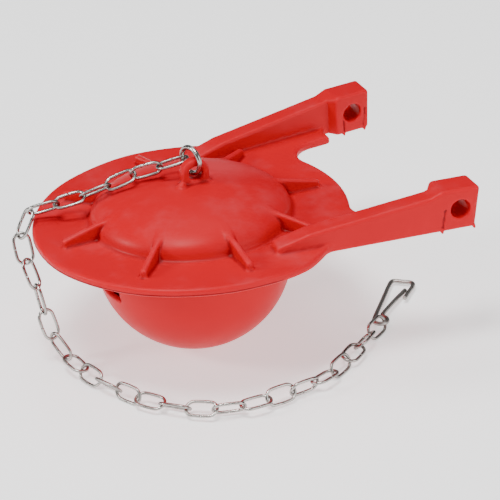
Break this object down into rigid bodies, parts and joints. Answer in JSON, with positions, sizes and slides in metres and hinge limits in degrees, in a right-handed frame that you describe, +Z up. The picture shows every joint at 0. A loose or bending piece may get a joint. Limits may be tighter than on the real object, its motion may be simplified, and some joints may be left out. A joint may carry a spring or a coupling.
{
  "type": "toilet flapper",
  "caption": "Red rubber toilet flapper with a hollow bulb, ribbed flange, two drilled arms and a bright pull chain ending in a wire snap hook.",
  "frame": {"origin": "on the bulb's axis, in the plane of the flange's underside, which seals on the valve seat", "axes": "+Z up, away from the valve seat; +X along the arms, towards their pivot bores; +Y across the arms"},
  "size_m": [0.1202, 0.0949, 0.061],
  "materials": {
    "rubber": "satin",
    "steel": "bright"
  },
  "bodies": {
    "root": {"flapper_body": "rubber", "lug_ring": "steel", "chain_link_01": "steel", "chain_link_02": "steel", "chain_link_03": "steel", "chain_link_04": "steel", "chain_link_05": "steel", "chain_link_06": "steel", "chain_link_07": "steel", "chain_link_08": "steel", "chain_link_09": "steel", "chain_link_10": "steel", "chain_link_11": "steel", "chain_link_12": "steel", "chain_link_13": "steel", "chain_link_14": "steel", "chain_link_15": "steel", "chain_link_16": "steel", "chain_link_17": "steel", "chain_link_18": "steel", "chain_link_19": "steel", "chain_link_20": "steel", "chain_link_21": "steel", "chain_link_22": "steel", "chain_link_23": "steel", "chain_link_24": "steel", "chain_link_25": "steel", "chain_link_26": "steel", "chain_link_27": "steel", "chain_link_28": "steel", "snap_hook": "steel"}
  },
  "joints": []
}
